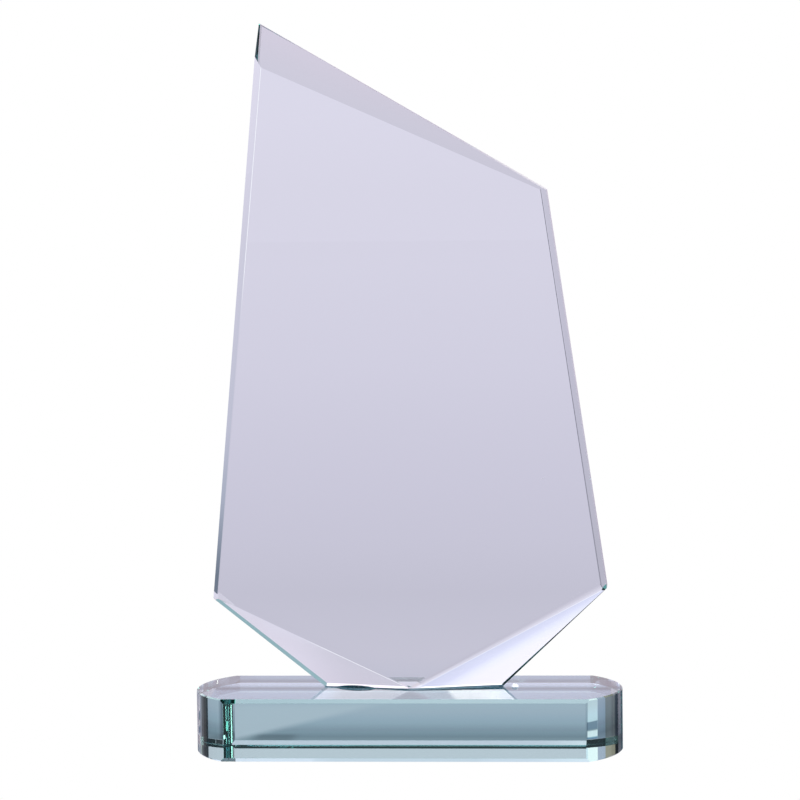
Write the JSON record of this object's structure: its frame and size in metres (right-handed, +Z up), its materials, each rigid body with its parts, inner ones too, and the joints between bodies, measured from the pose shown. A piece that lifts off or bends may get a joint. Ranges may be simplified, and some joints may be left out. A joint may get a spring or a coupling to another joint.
{
  "type": "glass award trophy",
  "caption": "Free-standing glass award: a tall asymmetric pointed plaque with facet-cut edges, bonded upright on a thick glass plinth with bowed ends.",
  "frame": {"origin": "centre of the plinth's underside, on the surface it stands on", "axes": "+X to the viewer's right along the plinth, -Y out of the engraving face of the plaque, +Z up"},
  "size_m": [0.137, 0.05, 0.233],
  "materials": {
    "base_glass": "polished float glass 20 mm thick, faint blue-green body tint, bevelled and polished edges",
    "plaque_glass": "polished float glass 10 mm thick, faint blue-green body tint, ground and polished facets",
    "clear_adhesive": "clear cured adhesive, glossy"
  },
  "bodies": {
    "root": {"crystal_base": "base_glass", "crystal_plaque": "plaque_glass", "adhesive_film": "clear_adhesive", "adhesive_droplet": "clear_adhesive"}
  },
  "joints": []
}
